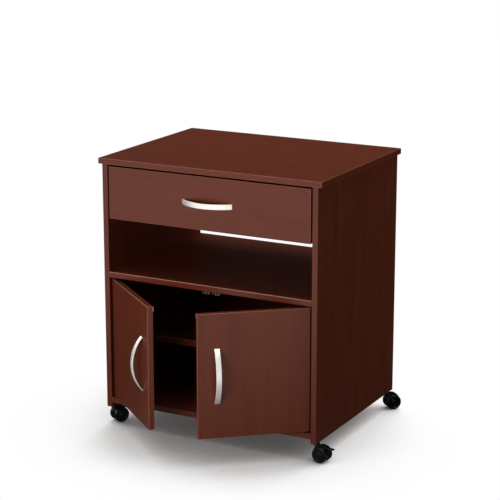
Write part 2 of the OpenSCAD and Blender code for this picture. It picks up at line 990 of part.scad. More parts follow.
// Outline of a wheel: x is the radius, y runs from its inner to its outer face
module wheel_profile() {
  difference() {
    union() {
      square([wheel_r - wheel_edge_r, wheel_w]);
      translate([0, wheel_edge_r]) square([wheel_r, wheel_w - 2 * wheel_edge_r]);
      for (y = [wheel_edge_r, wheel_w - wheel_edge_r])
        translate([wheel_r - wheel_edge_r, y]) circle(r = wheel_edge_r);
    }
    translate([-over, -over]) square([axle_r + fit + over, axle_half - wheel_gap + seat + over]);
    translate([wheel_dish_r[0], wheel_w - wheel_dish_depth])
      square([wheel_dish_r[1] - wheel_dish_r[0], wheel_dish_depth + over]);
  }
}

// The wheel on one flank of a caster: flank -1 or 1 along the caster's own y
module caster_wheel(side, row, turn, flank) {
  color(black_plastic)
    at_caster(side, row, turn)
      translate([trail, flank * wheel_gap, wheel_r])
        rotate([flank * -90, 0, 0])
          rotate_extrude($fn = 96) intersection() {
            wheel_profile();
            square([wheel_r, wheel_w]);
          }
}

// Pedal with its own pin, pressed down to lock the wheels
module brake_lever(side, turn) {
  color(black_plastic)
    at_caster(side, 0, turn)
      translate([brake_pivot[0], 0, brake_pivot[1]]) {
        rod_y(brake_pin_r, -web_half, web_half);
        across(brake_hub_half) {
          circle(r = brake_hub_r);
          rotate(-lever_droop)
            translate([0, -lever_t / 2]) square([brake_ear_r + 4 * slack, lever_t]);
        }
        across(lever_half)
          rotate(-lever_droop) {
            translate([brake_ear_r + slack, -lever_t / 2])
              square([lever_len - brake_ear_r - slack - lever_t / 2, lever_t]);
            translate([lever_len - lever_t / 2, 0]) circle(r = lever_t / 2);
          }
      }
}

// ---- the nodes ----

on_floor() top_panel();
on_floor() side_panel(-1);  // left_side_panel
on_floor() side_panel(1);  // right_side_panel
on_floor() fixed_shelf();
on_floor() bottom_panel();
on_floor() adjustable_shelf();
on_floor() back_panel();
on_floor() rear_stretcher();
on_floor() shelf_pins();
on_floor() cam_locks();
on_floor() cam_bolts();
on_floor() back_nails();
on_floor() cabinet_rail(-1);  // left_cabinet_rail
on_floor() cabinet_rail(1);  // right_cabinet_rail
on_floor() small_screws();
on_floor() magnetic_catch();
on_floor() cabinet_hinge_leaves();
on_floor() caster_sockets();
on_floor() caster_stems();

on_floor() drawer_front();
on_floor() drawer_side(-1);  // drawer_left_side
on_floor() drawer_side(1);  // drawer_right_side
on_floor() drawer_back();
on_floor() drawer_bottom();
on_floor() drawer_runner(-1);  // left_drawer_runner
on_floor() drawer_runner(1);  // right_drawer_runner
on_floor() drawer_handle();
on_floor() drawer_handle_screws();
on_floor() slide_roller(-1, front_roller_y);  // left_cabinet_roller
on_floor() slide_roller(1, front_roller_y);  // right_cabinet_roller
on_floor() slide_roller(-1, rear_roller_y);  // left_drawer_roller
on_floor() slide_roller(1, rear_roller_y);  // right_drawer_roller

on_floor() door(-1);  // left_door
on_floor() door_handle(-1);  // left_door_handle
on_floor() door_handle_screws(-1);  // left_handle_screws
on_floor() hinge_leaves(-1);  // left_hinge_leaves
on_floor() strike_plate(-1);  // left_strike_plate
on_floor() door(1);  // right_door
on_floor() door_handle(1);  // right_door_handle
on_floor() door_handle_screws(1);  // right_handle_screws
on_floor() hinge_leaves(1);  // right_hinge_leaves
on_floor() strike_plate(1);  // right_strike_plate

on_floor() caster_hood(-1, 0, front_left_turn, true);  // front_left_caster_hood
on_floor() caster_axle(-1, 0, front_left_turn);  // front_left_caster_axle
on_floor() caster_wheel(-1, 0, front_left_turn, -1);  // front_left_inner_wheel
on_floor() caster_wheel(-1, 0, front_left_turn, 1);  // front_left_outer_wheel
on_floor() brake_lever(-1, front_left_turn);  // front_left_brake_lever

on_floor() caster_hood(1, 0, front_right_turn, true);  // front_right_caster_hood
on_floor() caster_axle(1, 0, front_right_turn);  // front_right_caster_axle
on_floor() caster_wheel(1, 0, front_right_turn, 1);  // front_right_inner_wheel
on_floor() caster_wheel(1, 0, front_right_turn, -1);  // front_right_outer_wheel
on_floor() brake_lever(1, front_right_turn);  // front_right_brake_lever

on_floor() caster_hood(-1, 1, rear_left_turn, false);  // rear_left_caster_hood
on_floor() caster_axle(-1, 1, rear_left_turn);  // rear_left_caster_axle
on_floor() caster_wheel(-1, 1, rear_left_turn, 1);  // rear_left_inner_wheel
on_floor() caster_wheel(-1, 1, rear_left_turn, -1);  // rear_left_outer_wheel

on_floor() caster_hood(1, 1, rear_right_turn, false);  // rear_right_caster_hood
on_floor() caster_axle(1, 1, rear_right_turn);  // rear_right_caster_axle
on_floor() caster_wheel(1, 1, rear_right_turn, 1);  // rear_right_inner_wheel
on_floor() caster_wheel(1, 1, rear_right_turn, -1);  // rear_right_outer_wheel
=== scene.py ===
"""Microwave cart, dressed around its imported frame: finishes, bow handles, casters, light and camera."""

import json
import math

import bmesh
import bpy
from mathutils import Matrix, Vector

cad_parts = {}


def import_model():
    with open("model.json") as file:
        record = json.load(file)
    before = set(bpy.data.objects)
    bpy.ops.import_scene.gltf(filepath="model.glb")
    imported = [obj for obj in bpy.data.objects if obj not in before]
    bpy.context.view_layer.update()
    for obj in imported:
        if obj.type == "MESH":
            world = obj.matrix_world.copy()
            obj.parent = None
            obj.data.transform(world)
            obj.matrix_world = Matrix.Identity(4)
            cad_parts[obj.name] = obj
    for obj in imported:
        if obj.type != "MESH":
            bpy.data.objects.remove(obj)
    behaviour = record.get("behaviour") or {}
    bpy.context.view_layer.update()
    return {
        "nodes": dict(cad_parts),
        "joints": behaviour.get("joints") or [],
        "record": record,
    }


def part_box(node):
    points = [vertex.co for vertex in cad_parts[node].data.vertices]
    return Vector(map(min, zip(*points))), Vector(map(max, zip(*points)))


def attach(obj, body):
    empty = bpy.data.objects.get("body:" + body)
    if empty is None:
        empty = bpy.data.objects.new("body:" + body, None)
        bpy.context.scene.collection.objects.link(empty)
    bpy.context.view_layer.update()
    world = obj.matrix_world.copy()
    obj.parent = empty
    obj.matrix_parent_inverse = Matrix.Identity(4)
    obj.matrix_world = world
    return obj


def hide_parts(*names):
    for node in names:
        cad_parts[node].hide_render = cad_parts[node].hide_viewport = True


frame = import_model()

MM = 0.001
UP = Vector((0, 0, 1))
FRONT = Vector((0, -1, 0))
NODES = frame["nodes"]
JOINTS = {joint["name"]: joint for joint in frame["joints"]}
SIDES = ("left", "right")
CASTERS = ("front_left", "front_right", "rear_left", "rear_right")
BRAKED = ("front_left", "front_right")


# ---------------------------------------------------------------- places

def axes(origin, x, z):
    """Frame at origin with +x along x and +z along z."""
    x, z = Vector(x).normalized(), Vector(z).normalized()
    turn = Matrix((x, z.cross(x), z)).transposed()
    return Matrix.Translation(origin) @ turn.to_4x4()


def local_box(node, place):
    """Lowest and highest corner of a CAD node, measured in the frame place."""
    inverse = place.inverted()
    points = [inverse @ vertex.co for vertex in NODES[node].data.vertices]
    return [Vector([pick(p[i] for p in points) for i in range(3)]) for pick in (min, max)]


def seat(node, x, z):
    """Frame on the middle of a node's foot, with +z the way that it stands out, and the node's size."""
    loose = axes(Vector(), x, z)
    low, high = local_box(node, loose)
    foot = Vector(((low.x + high.x) / 2, (low.y + high.y) / 2, low.z))
    return axes(loose @ foot, x, z), high - low


def door_place(side):
    """Frame at a door's hinge: +x along the door to its free edge, +z up, +y square to the door."""
    joint = JOINTS[f"{side}_door_hinge"]
    opened = math.radians(-joint["range_deg"][0])
    closed = Vector((1 if side == "left" else -1, 0, 0))
    along = Matrix.Rotation(opened, 3, Vector(joint["axis"])) @ closed
    return axes(Vector(joint["pos_m"]), along, UP)


def door_front(side):
    """Direction that a door's outer face looks in."""
    along = door_place(side).col[0].xyz
    return UP.cross(along) * (-1 if side == "left" else 1)


def caster_place(name):
    """Frame at the foot of a caster's stem: +x to its wheels, +y along the axle, +z up."""
    stem = Vector(JOINTS[f"{name}_caster_swivel"]["pos_m"])
    axle = Vector(JOINTS[f"{name}_inner_wheel_spin"]["axis"])
    return axes(Vector((stem.x, stem.y, 0)), axle.cross(UP), UP)


# ---------------------------------------------------------------- materials

# Sockets of a mix node in its colour mode: factor, first and second colour, and the result.
MIX_INPUTS = (0, 6, 7)
MIX_RESULT = 2


class Shader:
    """A material whose colour, roughness and bump are built from nodes."""

    def __init__(self, name, roughness=0.5, metallic=0.0, specular=0.5, ior=1.5):
        self.material = bpy.data.materials.new(name)
        self.material.use_nodes = True
        self.tree = self.material.node_tree
        self.surface = self.tree.nodes["Principled BSDF"]
        settings = {"Roughness": roughness, "Metallic": metallic, "IOR": ior,
                    "Specular IOR Level": specular}
        for key, value in settings.items():
            self.surface.inputs[key].default_value = value
        self.place = self.tree.nodes.new("ShaderNodeTexCoord").outputs["Object"]

    def node(self, kind, inputs=None, **settings):
        """New node with those inputs, each a value or another node's output, and those settings."""
        made = self.tree.nodes.new(kind)
        for key, value in settings.items():
            setattr(made, key, value)
        for key, value in (inputs or {}).items():
            self.feed(made.inputs[key], value)
        return made

    def feed(self, socket, value):
        """Links an output to a socket, or sets the socket's own value."""
        if isinstance(value, bpy.types.NodeSocket):
            self.tree.links.new(value, socket)
        else:
            socket.default_value = value

    def stretched(self, scale):
        """Object coordinates, scaled by (x, y, z) in repeats per metre."""
        return self.node("ShaderNodeMapping", {"Vector": self.place, "Scale": scale}).outputs[0]

    def noise(self, scale, detail, roughness=0.55, distortion=0.0):
        """Noise between 0 and 1, with scale as repeats per metre along x, y and z."""
        made = self.node("ShaderNodeTexNoise", {
            "Vector": self.stretched(scale), "Scale": 1.0, "Detail": detail,
            "Roughness": roughness, "Distortion": distortion})
        return made.outputs["Fac"]

    def ramp(self, value, start, end):
        """Goes smoothly from 0, where value is start, to 1, where it is end, and stays so beyond them."""
        made = self.node("ShaderNodeMapRange", {
            "Value": value, "From Min": start, "From Max": end}, interpolation_type="SMOOTHSTEP")
        return made.outputs["Result"]

    def blend(self, factor, one, two):
        """Colour one, turned into colour two where factor is 1."""
        made = self.node("ShaderNodeMix", data_type="RGBA")
        for socket, value in zip(MIX_INPUTS, (factor, one, two)):
            self.feed(made.inputs[socket], value)
        return made.outputs[MIX_RESULT]

    def calc(self, kind, one, two=0.0):
        """Result of a maths node, which takes the second value only where its kind does."""
        made = self.node("ShaderNodeMath", operation=kind)
        self.feed(made.inputs[0], one)
        self.feed(made.inputs[1], two)
        return made.outputs[0]

    def split(self, vector):
        """Components of a vector, named X, Y and Z."""
        return self.node("ShaderNodeSeparateXYZ", {"Vector": vector}).outputs

    def by_ray(self, seen, mirrored, lighting):
        """One shader for the camera, one for reflections and one for all other light."""
        ray = self.node("ShaderNodeLightPath").outputs
        other = self.node("ShaderNodeMixShader", {0: ray["Is Glossy Ray"], 1: lighting, 2: mirrored})
        whole = self.node("ShaderNodeMixShader", {0: ray["Is Camera Ray"], 1: other.outputs[0], 2: seen})
        return whole.outputs[0]

    def paint(self, colour, roughness=None, height=None, depth=0.0):
        """Joins colour, roughness and bump height, depth metres deep, to the surface."""
        self.feed(self.surface.inputs["Base Color"], colour)
        if roughness is not None:
            self.feed(self.surface.inputs["Roughness"], roughness)
        if height is not None:
            bump = self.node("ShaderNodeBump", {"Height": height, "Distance": depth, "Strength": 1.0})
            self.feed(self.surface.inputs["Normal"], bump.outputs["Normal"])
        return self.material


def rgb(red, green, blue):
    """Colour as it shows on a screen, 0 to 255, in the linear values that sockets take."""
    return tuple(((c / 255) / 12.92 if c <= 10 else ((c / 255 + 0.055) / 1.055) ** 2.4)
                 for c in (red, green, blue)) + (1.0,)


def along_grain(grain, across, along):
    """Scale with fine repeats across the grain and long ones along it."""
    return tuple(along if axis == grain else across for axis in "xyz")


FOIL_IOR = 1.41
FOIL_RED, FOIL_DARK = rgb(99, 42, 22), rgb(86, 34, 17)
STREAK_TONE, FIBRE_TONE, PORE_TONE = rgb(82, 31, 15), rgb(110, 51, 30), rgb(60, 21, 10)
# Painted highlight, a paler stripe along a front edge: gone at the first distance from the edge, full at
# the second.
EDGE_HIGHLIGHT_TONE = rgb(190, 134, 114)
EDGE_HIGHLIGHT_OUT, EDGE_HIGHLIGHT_FULL = 1.7 * MM, 1.2 * MM


def laminate(name, grain, contrast=1.0, streak_pitch=12 * MM, edge=None):
    """Satin cherry foil: faint darker figure and streaks, fine fibres and short pores along the grain.

    edge is the (y, z) of a front edge along x that gets a painted highlight, a paler stripe.
    """
    shader = Shader(name, ior=FOIL_IOR)
    figure = shader.noise(along_grain(grain, 8, 0.9), 3.0, 0.6, 0.5)
    streaks = shader.noise(along_grain(grain, 1 / streak_pitch, 4.0), 5.0, 0.65, 0.3)
    fibres = shader.noise(along_grain(grain, 620, 9), 3.0, 0.6)
    pores = shader.ramp(shader.noise(along_grain(grain, 900, 34), 2.0), 0.64, 0.76)
    colour = shader.blend(shader.ramp(figure, 0.45, 0.75), FOIL_RED, FOIL_DARK)
    for share, strength, tone in ((shader.ramp(streaks, 0.42, 0.62), 0.44, STREAK_TONE),
                                  (shader.ramp(fibres, 0.35, 0.75), 0.36, FIBRE_TONE),
                                  (pores, 0.40, PORE_TONE)):
        colour = shader.blend(shader.calc("MULTIPLY", share, strength * contrast), colour, tone)
    # Painted highlight along the given front edge.
    if edge:
        parts = shader.split(shader.place)
        gaps = [shader.calc("ABSOLUTE", shader.calc("SUBTRACT", parts[axis], at))
                for axis, at in zip("YZ", edge)]
        line = shader.ramp(shader.calc("MAXIMUM", *gaps), EDGE_HIGHLIGHT_OUT, EDGE_HIGHLIGHT_FULL)
        colour = shader.blend(line, colour, EDGE_HIGHLIGHT_TONE)
    gloss = shader.calc("ADD", shader.calc("MULTIPLY", fibres, 0.10), 0.33)
    height = shader.calc("SUBTRACT", shader.calc("MULTIPLY", fibres, 0.4), pores)
    return shader.paint(colour, gloss, height, 0.04 * MM)


def painted_arris_highlight():
    """Painted highlight: paler eased edges on a board, standing in for the light that those edges catch.
    """
    shader = Shader("painted_arris_highlight", roughness=0.38, ior=FOIL_IOR)
    arris_mottle = shader.noise((45, 45, 45), 4.0, 0.6)
    return shader.paint(shader.blend(arris_mottle, rgb(122, 64, 46), rgb(150, 90, 70)), None, arris_mottle, 0.02 * MM)


def hardboard():
    """Thin fibre board: bare brown behind, dark print on the face inside the cupboard."""
    shader = Shader("hardboard", roughness=0.7, specular=0.3)
    fibres = shader.noise((420, 420, 420), 5.0, 0.7, 1.2)
    clouds = shader.noise((14, 14, 14), 3.0)
    bare = shader.blend(fibres, rgb(128, 93, 62), rgb(168, 130, 92))
    bare = shader.blend(shader.calc("MULTIPLY", clouds, 0.4), bare, rgb(114, 80, 54))
    printed = shader.blend(shader.noise((160, 160, 8), 3.0), rgb(58, 26, 18), rgb(76, 36, 25))
    normal = shader.node("ShaderNodeNewGeometry").outputs["True Normal"]
    faces_inside = shader.calc("LESS_THAN", shader.split(normal)["Y"], -0.5)
    return shader.paint(shader.blend(faces_inside, bare, printed), None, fibres, 0.12 * MM)


def drawer_foil():
    """Off-white foil with a faint linen print on the drawer's thin boards."""
    shader = Shader("drawer_foil", roughness=0.55, specular=0.35)
    warp = shader.noise((900, 900, 40), 2.0)
    weft = shader.noise((40, 40, 900), 2.0)
    weave = shader.calc("MULTIPLY", shader.calc("ADD", warp, weft), 0.5)
    clouds = shader.noise((6, 6, 6), 2.0)
    colour = shader.blend(weave, rgb(206, 200, 188), rgb(232, 228, 219))
    colour = shader.blend(shader.calc("MULTIPLY", clouds, 0.25), colour, rgb(214, 205, 190))
    return shader.paint(colour, None, weave, 0.04 * MM)


def satin_metal(name, tone, brushed, roughness, metallic=1.0):
    """Plated metal with fine brush lines, brushed naming the axis that they run along."""
    shader = Shader(name, roughness=roughness, metallic=metallic)
    lines = shader.noise(along_grain(brushed, 2600, 60), 2.0)
    clouds = shader.noise((55, 55, 55), 3.0)
    lighter = tuple(min(1.0, c * 1.12) for c in tone[:3]) + (1.0,)
    colour = shader.blend(lines, tone, lighter)
    gloss = shader.calc("ADD", shader.calc("MULTIPLY", lines, 0.10), roughness - 0.05)
    gloss = shader.calc("ADD", gloss, shader.calc("MULTIPLY", clouds, 0.06))
    return shader.paint(colour, gloss, lines, 0.012 * MM)


def zinc():
    """Bluish plated steel, faintly mottled."""
    shader = Shader("zinc", metallic=1.0)
    cells = shader.stretched((700, 700, 700))
    spangle = shader.node("ShaderNodeTexVoronoi", {"Vector": cells, "Scale": 1.0})
    mottle = shader.calc("MULTIPLY", spangle.outputs["Distance"], 0.8)
    colour = shader.blend(mottle, rgb(176, 181, 184), rgb(208, 211, 212))
    gloss = shader.calc("ADD", shader.calc("MULTIPLY", mottle, 0.14), 0.26)
    return shader.paint(colour, gloss)


def enamel():
    """White baked enamel on the slides, with a slight orange peel."""
    shader = Shader("slide_enamel", roughness=0.34)
    peel = shader.noise((420, 420, 420), 2.0)
    clouds = shader.noise((22, 9, 22), 3.0)
    colour = shader.blend(clouds, rgb(222, 221, 214), rgb(236, 235, 230))
    return shader.paint(colour, None, peel, 0.05 * MM)


def plastic(name, dark, light, roughness, grain=1500, depth=0.04 * MM, specular=0.5):
    """Moulded plastic with a fine spark-eroded grain and faint flow marks."""
    shader = Shader(name, roughness=roughness, specular=specular)
    speckle = shader.noise((grain, grain, grain), 2.0)
    flow = shader.noise((70, 70, 34), 4.0, 0.6, 0.7)
    colour = shader.blend(shader.ramp(flow, 0.3, 0.8), dark, light)
    gloss = shader.calc("ADD", shader.calc("MULTIPLY", flow, 0.16), roughness - 0.08)
    return shader.paint(colour, gloss, speckle, depth)


FOIL = {grain: laminate(f"laminate_{grain}", grain) for grain in "xz"}
SIDE_FOIL = laminate("laminate_sides", "z", contrast=1.9, streak_pitch=26 * MM)
SHELF_LOW, SHELF_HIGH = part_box("fixed_shelf")
# The fixed shelf's foil carries a painted highlight along its top front edge.
SHELF_FOIL = laminate("laminate_shelf", "x", edge=(SHELF_LOW.y, SHELF_HIGH.z))
# Painted highlight for the eased edges of the boards.
ARRIS_HIGHLIGHT = painted_arris_highlight()
HARDBOARD = hardboard()
DRAWER_FOIL = drawer_foil()
BOW_TONE = rgb(248, 243, 235)
BOW_METAL = {grain: satin_metal(f"handle_metal_{grain}", BOW_TONE, grain, 0.38, 0.6) for grain in "xz"}
# Dark bronze-brown steel. On the hinge leaves it is partly a bronze finish and partly painted shade; on
# the catch's pole plates and the bow posts its darkness is painted shade.
SHADE_DARK_STEEL = satin_metal("hinge_steel", rgb(62, 47, 40), "x", 0.5)
ZINC = zinc()
ENAMEL = enamel()
NYLON = plastic("roller_nylon", rgb(226, 222, 208), rgb(238, 235, 224), 0.45)
CATCH_PLASTIC = plastic("catch_plastic", rgb(140, 134, 126), rgb(158, 152, 143), 0.5, specular=0.3)
TYRE_BLACK = plastic("wheel_plastic", rgb(8, 10, 9), rgb(13, 16, 14), 0.26, grain=900, depth=0.05 * MM,
                     specular=0.3)
HOOD_BLACK = plastic("hood_plastic", rgb(8, 9, 9), rgb(14, 15, 15), 0.24, specular=0.6)

# Finish by the record's material slot, and the nodes whose grain or colour differs from their slot's.
SLOT_FINISH = {
    "laminate": FOIL["z"], "hardboard": HARDBOARD, "drawer_board": DRAWER_FOIL,
    "handle_metal": BOW_METAL["z"], "hinge_steel": SHADE_DARK_STEEL, "zinc": ZINC, "slide_enamel": ENAMEL,
    "roller_nylon": NYLON, "catch_plastic": CATCH_PLASTIC, "caster_plastic": HOOD_BLACK}
ALONG_X = ("top_panel", "bottom_panel", "adjustable_shelf", "rear_stretcher", "drawer_front")
NODE_FINISH = {
    "left_side_panel": SIDE_FOIL, "right_side_panel": SIDE_FOIL, "fixed_shelf": SHELF_FOIL,
    "caster_sockets": HOOD_BLACK, **{node: FOIL["x"] for node in ALONG_X}}


# ---------------------------------------------------------------- mesh builders

KEEP_MATERIAL = -1
SHARP_EDGE = math.radians(30)       # edges that bend more are rounded
SMOOTH_EDGE = math.radians(38)      # edges that bend less are shaded smooth
FLAT_WEIGHT = 80


def block(low, high, radius, segments=3, edge_material=KEEP_MATERIAL):
    """Box with all of its edges rounded."""
    made = bmesh.new()
    bmesh.ops.create_cube(made, size=1.0)
    size, middle = Vector(high) - Vector(low), (Vector(high) + Vector(low)) / 2
    for vertex in made.verts:
        vertex.co = Vector([vertex.co[i] * size[i] + middle[i] for i in range(3)])
    soften(made, radius, segments, edge_material)
    return made


def soften(made, radius, segments, edge_material=KEEP_MATERIAL):
    """Rounds the sharp edges of a mesh under construction."""
    sharp = [edge for edge in made.edges if edge.calc_face_angle(0) > SHARP_EDGE]
    bmesh.ops.bevel(made, geom=sharp, offset=radius, offset_type="OFFSET", segments=segments,
                    profile=0.5, affect="EDGES", clamp_overlap=True, material=edge_material)


def circle(radius, steps):
    """Points (x, y) around a circle."""
    turns = [2 * math.pi * k / steps for k in range(steps)]
    return [(radius * math.cos(turn), radius * math.sin(turn)) for turn in turns]


def prism(outline, low, high, radius, segments):
    """Solid between z = low and z = high over an outline of (x, y) points, edges rounded."""
    made = bmesh.new()
    floor = [made.verts.new((x, y, low)) for x, y in outline]
    roof = [made.verts.new((x, y, high)) for x, y in outline]
    made.faces.new(reversed(floor))
    made.faces.new(roof)
    for i, _ in enumerate(outline):
        j = (i + 1) % len(outline)
        made.faces.new((floor[i], floor[j], roof[j], roof[i]))
    bmesh.ops.recalc_face_normals(made, faces=made.faces[:])
    soften(made, radius, segments)
    return made


def lathe(profile, steps):
    """Solid turned about z from (radius, z) points, the first and last of which lie on the axis."""
    made = bmesh.new()
    rings = []
    for radius, z in profile:
        points = circle(radius, steps) if radius else [(0, 0)]
        rings.append([made.verts.new((x, y, z)) for x, y in points])
    for one, two in zip(rings, rings[1:]):
        for k in range(steps):
            n = (k + 1) % steps
            corners = [one[k % len(one)], one[n % len(one)], two[n % len(two)], two[k % len(two)]]
            made.faces.new(list(dict.fromkeys(corners)))
    bmesh.ops.recalc_face_normals(made, faces=made.faces[:])
    return made


def put(made, place):
    """Moves a mesh under construction by the frame place."""
    made.transform(place)
    return made


def finished(name, made):
    """Mesh from a mesh under construction, which ends there."""
    mesh = bpy.data.meshes.new(name)
    made.to_mesh(mesh)
    made.free()
    return mesh


def added(name, data):
    """New object in the scene for a mesh, a lamp or a camera."""
    made = bpy.data.objects.new(name, data)
    bpy.context.scene.collection.objects.link(made)
    return made


def piece(name, body, parts, materials, replaces):
    """Object from (mesh, material index) parts that rides on a body and stands for CAD nodes."""
    whole = bmesh.new()
    for made, index in parts:
        for face in made.faces:
            face.material_index += index
            face.smooth = True
        scrap = finished("scrap", made)
        whole.from_mesh(scrap)
        bpy.data.meshes.remove(scrap)
    mesh = finished(name, whole)
    mesh.set_sharp_from_angle(angle=SMOOTH_EDGE)
    for material in materials:
        mesh.materials.append(material)
    made = added(name, mesh)
    weigh_normals(made)
    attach(made, body)
    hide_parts(*replaces)


def weigh_normals(target):
    """Keeps wide flat faces flat beside the narrow rounded edges."""
    weighted = target.modifiers.new("flat_faces", "WEIGHTED_NORMAL")
    weighted.keep_sharp = True
    weighted.weight = FLAT_WEIGHT


def cut(target, cutter):
    """Takes the cutter's shape out of a mesh under construction."""
    body, tool = [added("scrap", finished("scrap", made)) for made in (target, cutter)]
    modifier = body.modifiers.new("cut", "BOOLEAN")
    modifier.operation, modifier.solver, modifier.object = "DIFFERENCE", "EXACT", tool
    result = bmesh.new()
    result.from_object(body, bpy.context.evaluated_depsgraph_get())
    for item in (body, tool):
        mesh = item.data
        bpy.data.objects.remove(item)
        bpy.data.meshes.remove(mesh)
    return result


# ---------------------------------------------------------------- boards

BAND_R = 1.5 * MM


def board(name, node, body, place, grain):
    """Laminated board over a CAD board, with its banded edges eased all round and painted paler as a
    highlight.
    """
    low, high = local_box(node, place)
    made = put(block(low, high, BAND_R, edge_material=1), place)
    piece(name, body, [(made, 0)], [FOIL[grain], ARRIS_HIGHLIGHT], [node])


def boards():
    """The boards whose banded edges show: top, drawer front, loose shelf and doors."""
    level = Matrix.Identity(4)
    board("top_board", "top_panel", "cabinet", level, "x")
    board("drawer_front_board", "drawer_front", "drawer", level, "x")
    board("loose_shelf_board", "adjustable_shelf", "cabinet", level, "x")
    for side in SIDES:
        board(f"{side}_door_board", f"{side}_door", f"{side}_door", door_place(side), "z")


# ---------------------------------------------------------------- bow handles

BOW_W, BOW_T, BOW_EDGE = 14.4 * MM, 4.5 * MM, 1.4 * MM
BOW_TAPER = 0.45        # share of its thickness that a bow has lost at its ends
BOW_SPARE = 0.03        # turn, in radians, by which the arc overruns the board before it is cut off
BOW_STEPS, EDGE_STEPS = 64, 4
POST_R = 2.0 * MM
SCREW_PITCH = 128 * MM
SCREW_STEPS = 40
HEAD_R, HEAD_H, SHANK_R = 4.0 * MM, 2.4 * MM, 1.95 * MM
# A pan head's dome from its crown to its seat, and the reach, width and depth of its recess, all in
# shares of the head's radius and height.
DOME = ((0, 1), (0.45, 0.97), (0.75, 0.84), (0.93, 0.58), (1, 0.28), (1, 0))
RECESS_REACH, RECESS_WIDTH, RECESS_DEPTH = 1.15, 0.26, 0.55
BLADE_R = 0.12 * MM


def rounded_section(width, thick, radius):
    """Outline of a flat bar with rounded edges, centred on the origin."""
    points = []
    for corner, (x, y) in enumerate(((1, 1), (-1, 1), (-1, -1), (1, -1))):
        for k in range(EDGE_STEPS + 1):
            turn = math.radians(90 * (corner + k / EDGE_STEPS))
            points.append((x * (width / 2 - radius) + radius * math.cos(turn),
                           y * (thick / 2 - radius) + radius * math.sin(turn)))
    return points


def arc_radius(length, rise):
    """Radius of an arc that rises that far over a chord of that length."""
    return (length ** 2 / 4 + rise ** 2) / (2 * rise)


def bow_band(length, rise):
    """Flat bar bent to an arc over z = 0, thinner to its two ends, which are cut off level there."""
    radius = arc_radius(length, rise)
    drop = radius - rise
    swing = math.asin(length / 2 / radius) + BOW_SPARE
    section = rounded_section(BOW_W, BOW_T, BOW_EDGE)
    made = bmesh.new()
    rings = []
    for k in range(BOW_STEPS + 1):
        turn = swing * (2 * k / BOW_STEPS - 1)
        slim = 1 - BOW_TAPER * (turn / swing) ** 2
        reaches = [radius - (BOW_T / 2 - y) * slim for _, y in section]
        rings.append([made.verts.new((reach * math.sin(turn), x, reach * math.cos(turn) - drop))
                      for reach, (x, _) in zip(reaches, section)])
    for one, two in zip(rings, rings[1:]):
        for k in range(len(section)):
            n = (k + 1) % len(section)
            made.faces.new((one[k], one[n], two[n], two[k]))
    made.faces.new(rings[0])
    made.faces.new(reversed(rings[-1]))
    everything = made.verts[:] + made.edges[:] + made.faces[:]
    bmesh.ops.bisect_plane(made, geom=everything, plane_co=(0, 0, 0), plane_no=(0, 0, 1),
                           clear_inner=True)
    bmesh.ops.holes_fill(made, edges=[edge for edge in made.edges if edge.is_boundary])
    bmesh.ops.recalc_face_normals(made, faces=made.faces[:])
    return made


def bow_handle(name, node, body, x, z, grain):
    """Bow over the box of a CAD handle, x along it and z out of the board, with a post at each screw in a
    dark steel that paints the shade under the bow.
    """
    place, size = seat(node, x, z)
    parts = [(put(bow_band(size.x, size.z), place), 0)]
    radius = arc_radius(size.x, size.z)
    reach = math.sqrt((radius - BOW_T / 2) ** 2 - (SCREW_PITCH / 2) ** 2) - radius + size.z
    for way in (-1, 1):
        post = lathe([(0, 0), (POST_R, 0), (POST_R, reach), (0, reach)], SCREW_STEPS)
        parts.append((put(post, place @ Matrix.Translation((way * SCREW_PITCH / 2, 0, 0))), 1))
    piece(name, body, parts, [BOW_METAL[grain], SHADE_DARK_STEEL], [node])


def cross_recess(reach, width, depth, top):
    """Two crossed blades that cut a screwdriver's recess down from z = top."""
    return [block((-x / 2, -y / 2, top - depth), (x / 2, y / 2, top + MM), BLADE_R, 1)
            for x, y in ((reach, width), (width, reach))]


def pan_screw(shank_len):
    """Pan-head screw, its seat at z = 0, its head up and its shank down."""
    head = [(out * HEAD_R, up * HEAD_H) for out, up in DOME]
    made = lathe(head + [(SHANK_R, 0), (SHANK_R, -shank_len), (0, -shank_len)], SCREW_STEPS)
    recess = (RECESS_REACH * HEAD_R, RECESS_WIDTH * HEAD_R, RECESS_DEPTH * HEAD_H)
    for blade in cross_recess(*recess, HEAD_H):
        made = cut(made, blade)
    return made


def handle_screws(name, node, body, x, z):
    """The two screws of a bow handle, seen from behind the board."""
    place, size = seat(node, x, z)
    spread = size.x / 2 - HEAD_R
    parts = []
    for way in (-1, 1):
        spot = place @ Matrix.Translation((way * spread, 0, size.z - HEAD_H))
        parts.append((put(pan_screw(size.z - HEAD_H), spot), 0))
    piece(name, body, parts, [ZINC], [node])


def handles():
    """Bows of the drawer and both doors, and their screws."""
    bow_handle("drawer_bow", "drawer_handle", "drawer", (1, 0, 0), FRONT, "x")
    handle_screws("drawer_bow_screws", "drawer_handle_screws", "drawer", (1, 0, 0), -FRONT)
    for side in SIDES:
        out = door_front(side)
        bow_handle(f"{side}_door_bow", f"{side}_door_handle", f"{side}_door", UP, out, "z")
        handle_screws(f"{side}_bow_screws", f"{side}_handle_screws", f"{side}_door", UP, -out)


# ---------------------------------------------------------------- catch

CATCH_BASE, CATCH_R = 2 * MM, 0.6 * MM
# Housings: HOUSING_BACK is how far they stand behind the pole plates' face, and HOUSING_SINK how far they
# run up into the base.
HOUSING_W, HOUSING_PITCH, HOUSING_R = 21 * MM, 30 * MM, 0.9 * MM
HOUSING_BACK, HOUSING_SINK = 0.8 * MM, 0.4 * MM
# Ribs under a housing: how far they stand out of it and root in it, and where they run from its back, in
# shares of the catch's depth.
RIB_PITCH, RIB_HALF, RIB_R = 6 * MM, 0.5 * MM, 0.2 * MM
RIB_PROUD, RIB_ROOT = 0.6 * MM, 0.8 * MM
RIB_FROM, RIB_TO = 0.7, 0.15
